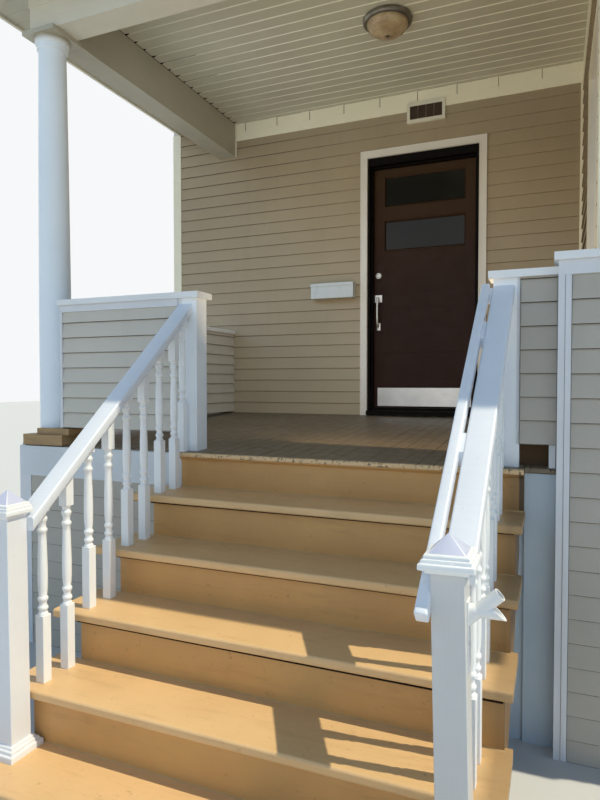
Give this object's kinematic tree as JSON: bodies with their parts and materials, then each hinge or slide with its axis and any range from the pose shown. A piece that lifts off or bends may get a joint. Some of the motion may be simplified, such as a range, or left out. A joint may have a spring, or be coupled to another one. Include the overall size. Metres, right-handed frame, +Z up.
{
  "type": "front porch",
  "caption": "Covered front porch on a house wall: board deck, wooden steps with turned balusters and capped newels, clapboard low walls, round columns, hipped roof and a door that opens.",
  "frame": {"origin": "middle of the porch's outline on the ground it stands on", "axes": "+X along the house to the right as seen from the street, +Y into the house, +Z up"},
  "size_m": [5.454, 3.786, 4.989],
  "materials": {
    "white_paint": "satin",
    "cream_paint": "satin",
    "ceiling_paint": "satin",
    "deck_boards": "satin",
    "step_boards": "satin",
    "framing": "matte",
    "siding": "matte",
    "smooth_board": "satin",
    "roof_shingles": "matte",
    "door_paint": "satin",
    "pane": "gloss",
    "steel": "brushed",
    "box_metal": "satin",
    "white_metal": "satin",
    "bronze": "satin",
    "milk_glass": "gloss"
  },
  "bodies": {
    "porch": {"skirt_boards": "white_paint", "newels": "white_paint", "handrails": "white_paint", "inner_rail": "white_paint", "left_balusters": "white_paint", "right_balusters": "white_paint", "low_wall_posts": "white_paint", "left_cap": "white_paint", "right_cap": "white_paint", "side_caps": "white_paint", "low_wall_trim": "white_paint", "columns": "white_paint", "front_beam": "cream_paint", "side_beams": "cream_paint", "eave_boards": "cream_paint", "wall_trim": "cream_paint", "side_window": "cream_paint", "door_casing": "cream_paint", "number_plate": "cream_paint", "ceiling": "ceiling_paint", "soffit": "ceiling_paint", "deck": "deck_boards", "treads": "step_boards", "risers": "step_boards", "cove": "step_boards", "plinths": "step_boards", "stringers": "framing", "deck_frame": "framing", "left_skirt_wall": "siding", "right_skirt_wall": "siding", "left_low_wall": "siding", "left_side_wall": "siding", "short_low_wall": "siding", "right_front_wall": "siding", "right_side_wall": "siding", "house_base": "siding", "house_wall_left": "siding", "house_wall_right": "siding", "house_wall_top": "siding", "bay_side_wall": "siding", "bay_front_wall": "siding", "right_skirt_board": "smooth_board", "roof": "roof_shingles", "door_frame": "door_paint", "window_glass": "pane", "jamb_hinges": "steel", "letter_box": "box_metal", "flag_bracket": "white_metal", "ceiling_light": "bronze", "light_bowl": "milk_glass"},
    "door": {"door_leaf": "door_paint", "door_glass": "pane", "kick_plate": "steel", "door_handle": "steel", "leaf_hinges": "steel"},
    "box_lid": {"letter_box_lid": "box_metal"}
  },
  "joints": [
    {"name": "door_hinge", "type": "hinge", "parent": "porch", "child": "door", "pos_m": [0.1055, 1.855, 2.3], "axis": [0, 0, -1], "range_deg": [0, 90]},
    {"name": "lid_hinge", "type": "hinge", "parent": "porch", "child": "box_lid", "pos_m": [-1.077, 1.69, 2.4185], "axis": [-1, 0, 0], "range_deg": [0, 80]}
  ]
}
